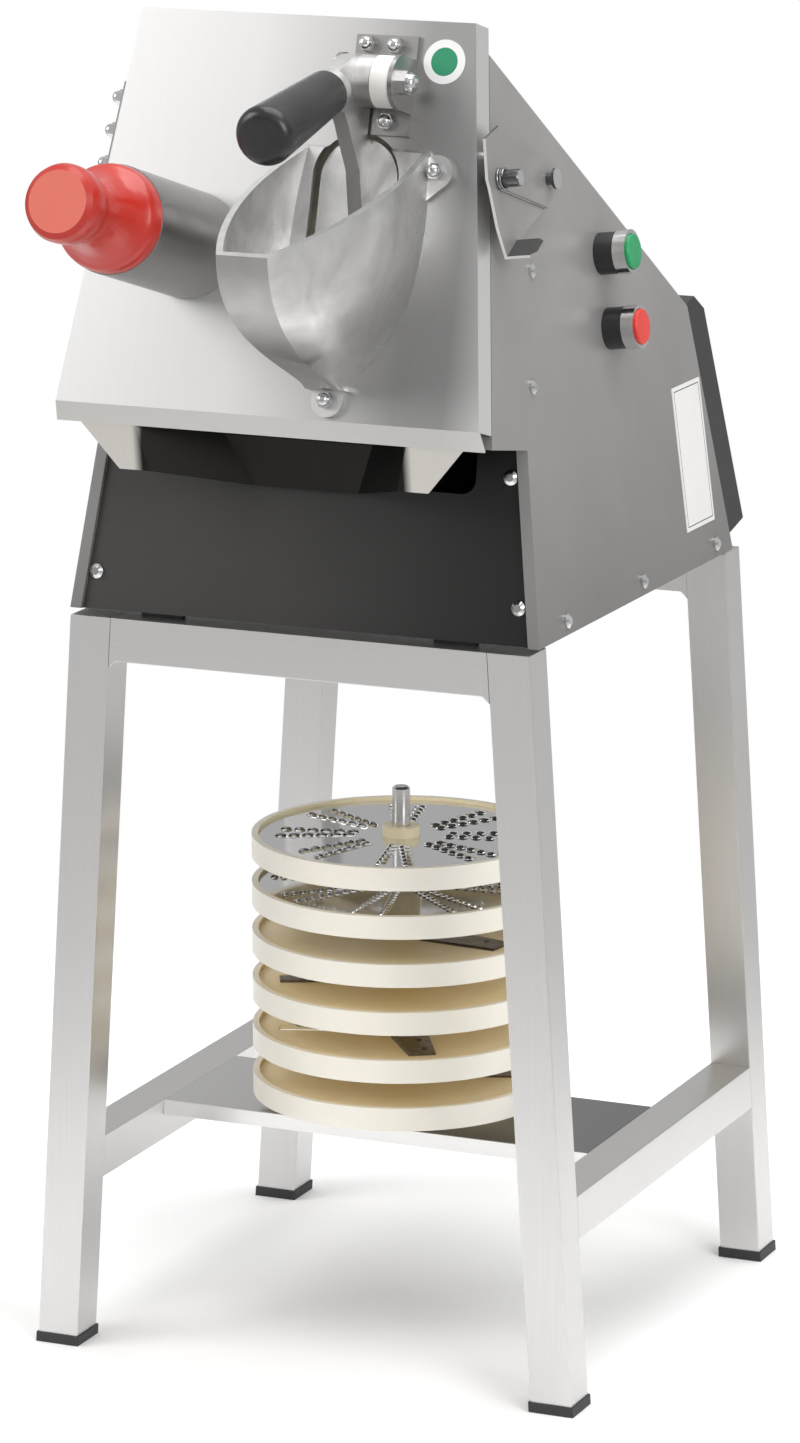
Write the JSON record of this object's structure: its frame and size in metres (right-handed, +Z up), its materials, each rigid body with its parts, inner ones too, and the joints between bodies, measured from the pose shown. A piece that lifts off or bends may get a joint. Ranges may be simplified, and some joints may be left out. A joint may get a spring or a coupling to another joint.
{
  "type": "vegetable cutting machine",
  "caption": "Electric vegetable cutting machine on a stand of square steel tube, with a lever hopper, a feed tube with pusher, and spare cutting discs on a shelf spindle.",
  "frame": {"origin": "on the floor under the middle of the overall width and depth", "axes": "+X to the machine's right seen from its feeding front, +Y to the back, +Z up"},
  "size_m": [0.4024, 0.6319, 0.9272],
  "materials": {
    "brushed_steel": "brushed",
    "door_steel": "brushed",
    "tube_steel": "brushed",
    "shelf_steel": "brushed",
    "chute_steel": "satin",
    "bracket_steel": "satin",
    "bright_steel": "polished",
    "blade_steel": "polished",
    "spring_steel": "polished",
    "chrome_screws": "polished",
    "grey_panel": "satin",
    "dark_panel": "satin",
    "latch_grey": "satin",
    "cast_aluminium": "matte",
    "ground_aluminium": "brushed",
    "black_rubber": "matte",
    "belt_rubber": "matte",
    "black_plastic": "satin",
    "black_bakelite": "satin",
    "white_plastic": "satin",
    "cream_plastic": "satin",
    "salmon_plastic": "glossy",
    "green_cap": "glossy",
    "red_cap": "glossy",
    "motor_paint": "satin",
    "pulley_iron": "matte"
  },
  "bodies": {
    "machine": {"stand_legs": "brushed_steel", "stand_rails": "brushed_steel", "foot_caps": "black_rubber", "shelf_plate": "shelf_steel", "disc_spindle": "bright_steel", "body_spacers": "black_rubber", "right_side_panel": "grey_panel", "left_side_panel": "grey_panel", "lower_front_panel": "dark_panel", "sloping_cover": "grey_panel", "rear_panel": "dark_panel", "base_plate": "dark_panel", "chamber_housing": "cast_aluminium", "discharge_chute": "chute_steel", "rear_cover": "black_plastic", "dome_screws": "chrome_screws", "motor": "motor_paint", "drive_belt": "belt_rubber", "shaft_bearings": "bright_steel", "body_hinge_leaf": "bracket_steel", "latch_post": "chrome_screws", "button_collars": "black_plastic", "button_bezels": "chrome_screws"},
    "door": {"door_panel": "door_steel", "feed_tube": "tube_steel", "hopper": "ground_aluminium", "lever_bracket": "bracket_steel", "lever_bush": "white_plastic", "pivot_bolt": "chrome_screws", "door_nuts": "chrome_screws", "door_hinge_leaf": "bracket_steel", "catch_stud": "bright_steel"},
    "lever": {"lever_arm": "ground_aluminium", "lever_grip": "black_bakelite"},
    "pusher": {"pusher": "salmon_plastic"},
    "latch": {"latch_plate": "latch_grey", "latch_stud": "chrome_screws", "latch_spring": "spring_steel"},
    "start_button": {"start_button": "green_cap"},
    "stop_button": {"stop_button": "red_cap"},
    "inlet_lid": {"inlet_lid": "black_plastic"},
    "cutting_disc": {"main_shaft": "bright_steel", "shaft_pulley": "pulley_iron", "ejector_disc": "cream_plastic", "working_disc_body": "cream_plastic", "working_disc_blade": "blade_steel", "disc_nut": "bright_steel"},
    "motor_pulley": {"motor_pulley": "pulley_iron"},
    "spare_slicer_1": {"slicer_1_body": "cream_plastic", "slicer_1_blade": "blade_steel"},
    "spare_slicer_2": {"slicer_2_body": "cream_plastic", "slicer_2_blade": "blade_steel"},
    "spare_slicer_3": {"slicer_3_body": "cream_plastic", "slicer_3_blade": "blade_steel"},
    "spare_slicer_4": {"slicer_4_body": "cream_plastic", "slicer_4_blade": "blade_steel"},
    "spare_grater_1": {"grater_1_body": "cream_plastic", "grater_1_plate": "blade_steel"},
    "spare_grater_2": {"grater_2_body": "cream_plastic", "grater_2_plate": "blade_steel"}
  },
  "joints": [
    {"name": "door_swing", "type": "hinge", "parent": "machine", "child": "door", "pos_m": [-0.13746, -0.08533, 0.82223], "axis": [-0.1227, -0.2706, -0.9549], "range_deg": [0, 110]},
    {"name": "lever_press", "type": "hinge", "parent": "door", "child": "lever", "pos_m": [0.048, -0.10986, 0.8909], "axis": [-1, 0, 0], "range_deg": [0, 75]},
    {"name": "pusher_slide", "type": "slide", "parent": "door", "child": "pusher", "axis": [0, -0.9621, 0.2726], "range_m": [0, 0.16]},
    {"name": "latch_swing", "type": "hinge", "parent": "machine", "child": "latch", "pos_m": [0.14285, -0.0145, 0.81954], "axis": [-0.9918, 0, -0.1275], "range_deg": [0, 12]},
    {"name": "start_press", "type": "slide", "parent": "machine", "child": "start_button", "axis": [-0.9918, 0, -0.1275], "range_m": [0, 0.003], "stiffness_N_per_m": 400},
    {"name": "stop_press", "type": "slide", "parent": "machine", "child": "stop_button", "axis": [-0.9918, 0, -0.1275], "range_m": [0, 0.003], "stiffness_N_per_m": 400},
    {"name": "lid_swing", "type": "hinge", "parent": "machine", "child": "inlet_lid", "pos_m": [0.112, 0.29424, 0.64451], "axis": [1, 0, 0], "range_deg": [0, 90], "stiffness_Nm_per_rad": 0.02},
    {"name": "disc_spin", "type": "hinge", "parent": "machine", "child": "cutting_disc", "pos_m": [0, -0.0772, 0.77875], "axis": [0, -0.9621, 0.2726], "continuous": true},
    {"name": "motor_spin", "type": "hinge", "parent": "machine", "child": "motor_pulley", "pos_m": [0, -0.02717, 0.63985], "axis": [0, -0.9621, 0.2726], "continuous": true},
    {"name": "slicer_1_lift", "type": "slide", "parent": "machine", "child": "spare_slicer_1", "axis": [0, 0, 1], "range_m": [0, 0.02]},
    {"name": "slicer_2_lift", "type": "slide", "parent": "spare_slicer_1", "child": "spare_slicer_2", "axis": [0, 0, 1], "range_m": [0, 0.02]},
    {"name": "slicer_3_lift", "type": "slide", "parent": "spare_slicer_2", "child": "spare_slicer_3", "axis": [0, 0, 1], "range_m": [0, 0.02]},
    {"name": "slicer_4_lift", "type": "slide", "parent": "spare_slicer_3", "child": "spare_slicer_4", "axis": [0, 0, 1], "range_m": [0, 0.02]},
    {"name": "grater_1_lift", "type": "slide", "parent": "spare_slicer_4", "child": "spare_grater_1", "axis": [0, 0, 1], "range_m": [0, 0.02]},
    {"name": "grater_2_lift", "type": "slide", "parent": "spare_grater_1", "child": "spare_grater_2", "axis": [0, 0, 1], "range_m": [0, 0.065]}
  ],
  "couplings": [
    {"joint": "motor_spin", "follows": "disc_spin", "ratio": 2}
  ]
}
